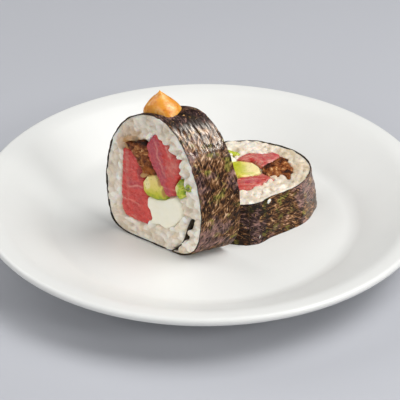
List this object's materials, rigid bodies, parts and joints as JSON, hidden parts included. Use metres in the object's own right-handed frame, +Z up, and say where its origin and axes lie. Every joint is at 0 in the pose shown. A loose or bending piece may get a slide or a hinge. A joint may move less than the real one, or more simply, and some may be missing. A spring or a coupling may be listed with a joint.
{
  "type": "maki sushi roll slices on a plate",
  "caption": "Round slices of thick maki roll with tuna, avocado, cream cheese and braised mushroom on a white plate, standing with a dollop of sauce and lying on its cut face.",
  "frame": {"origin": "centre of the plate's foot, on the surface it stands on", "axes": "+Z up out of the plate; +X to the right of the two slices as seen from the front, with the standing slice at the front left and the lying slice behind it at the right"},
  "size_m": [0.2, 0.2, 0.0786],
  "materials": {
    "porcelain": "white glazed porcelain, smooth and softly glossy",
    "nori": "toasted seaweed sheet, dark brown and olive with fine fibres, damp and slightly shiny",
    "rice": "cooked short-grain rice, warm white, moist",
    "tuna": "raw red tuna with fine muscle lines, moist",
    "greens": "fresh green salad stalk",
    "avocado": "ripe avocado, yellow turning green at its edge",
    "cheese": "soft cream cheese",
    "mushroom": "dark brown braised mushroom, sticky and shiny",
    "sauce": "orange spiced mayonnaise, smooth and glossy"
  },
  "bodies": {
    "root": {"plate": "porcelain", "standing_nori": "nori", "standing_rice": "rice", "standing_tuna_left": "tuna", "standing_tuna_right": "tuna", "standing_greens": "greens", "standing_avocado": "avocado", "standing_cheese": "cheese", "standing_mushroom": "mushroom", "sauce": "sauce", "lying_nori": "nori", "lying_rice": "rice", "lying_tuna_far": "tuna", "lying_tuna_near": "tuna", "lying_greens": "greens", "lying_avocado": "avocado", "lying_cheese": "cheese", "lying_mushroom": "mushroom"}
  },
  "joints": []
}
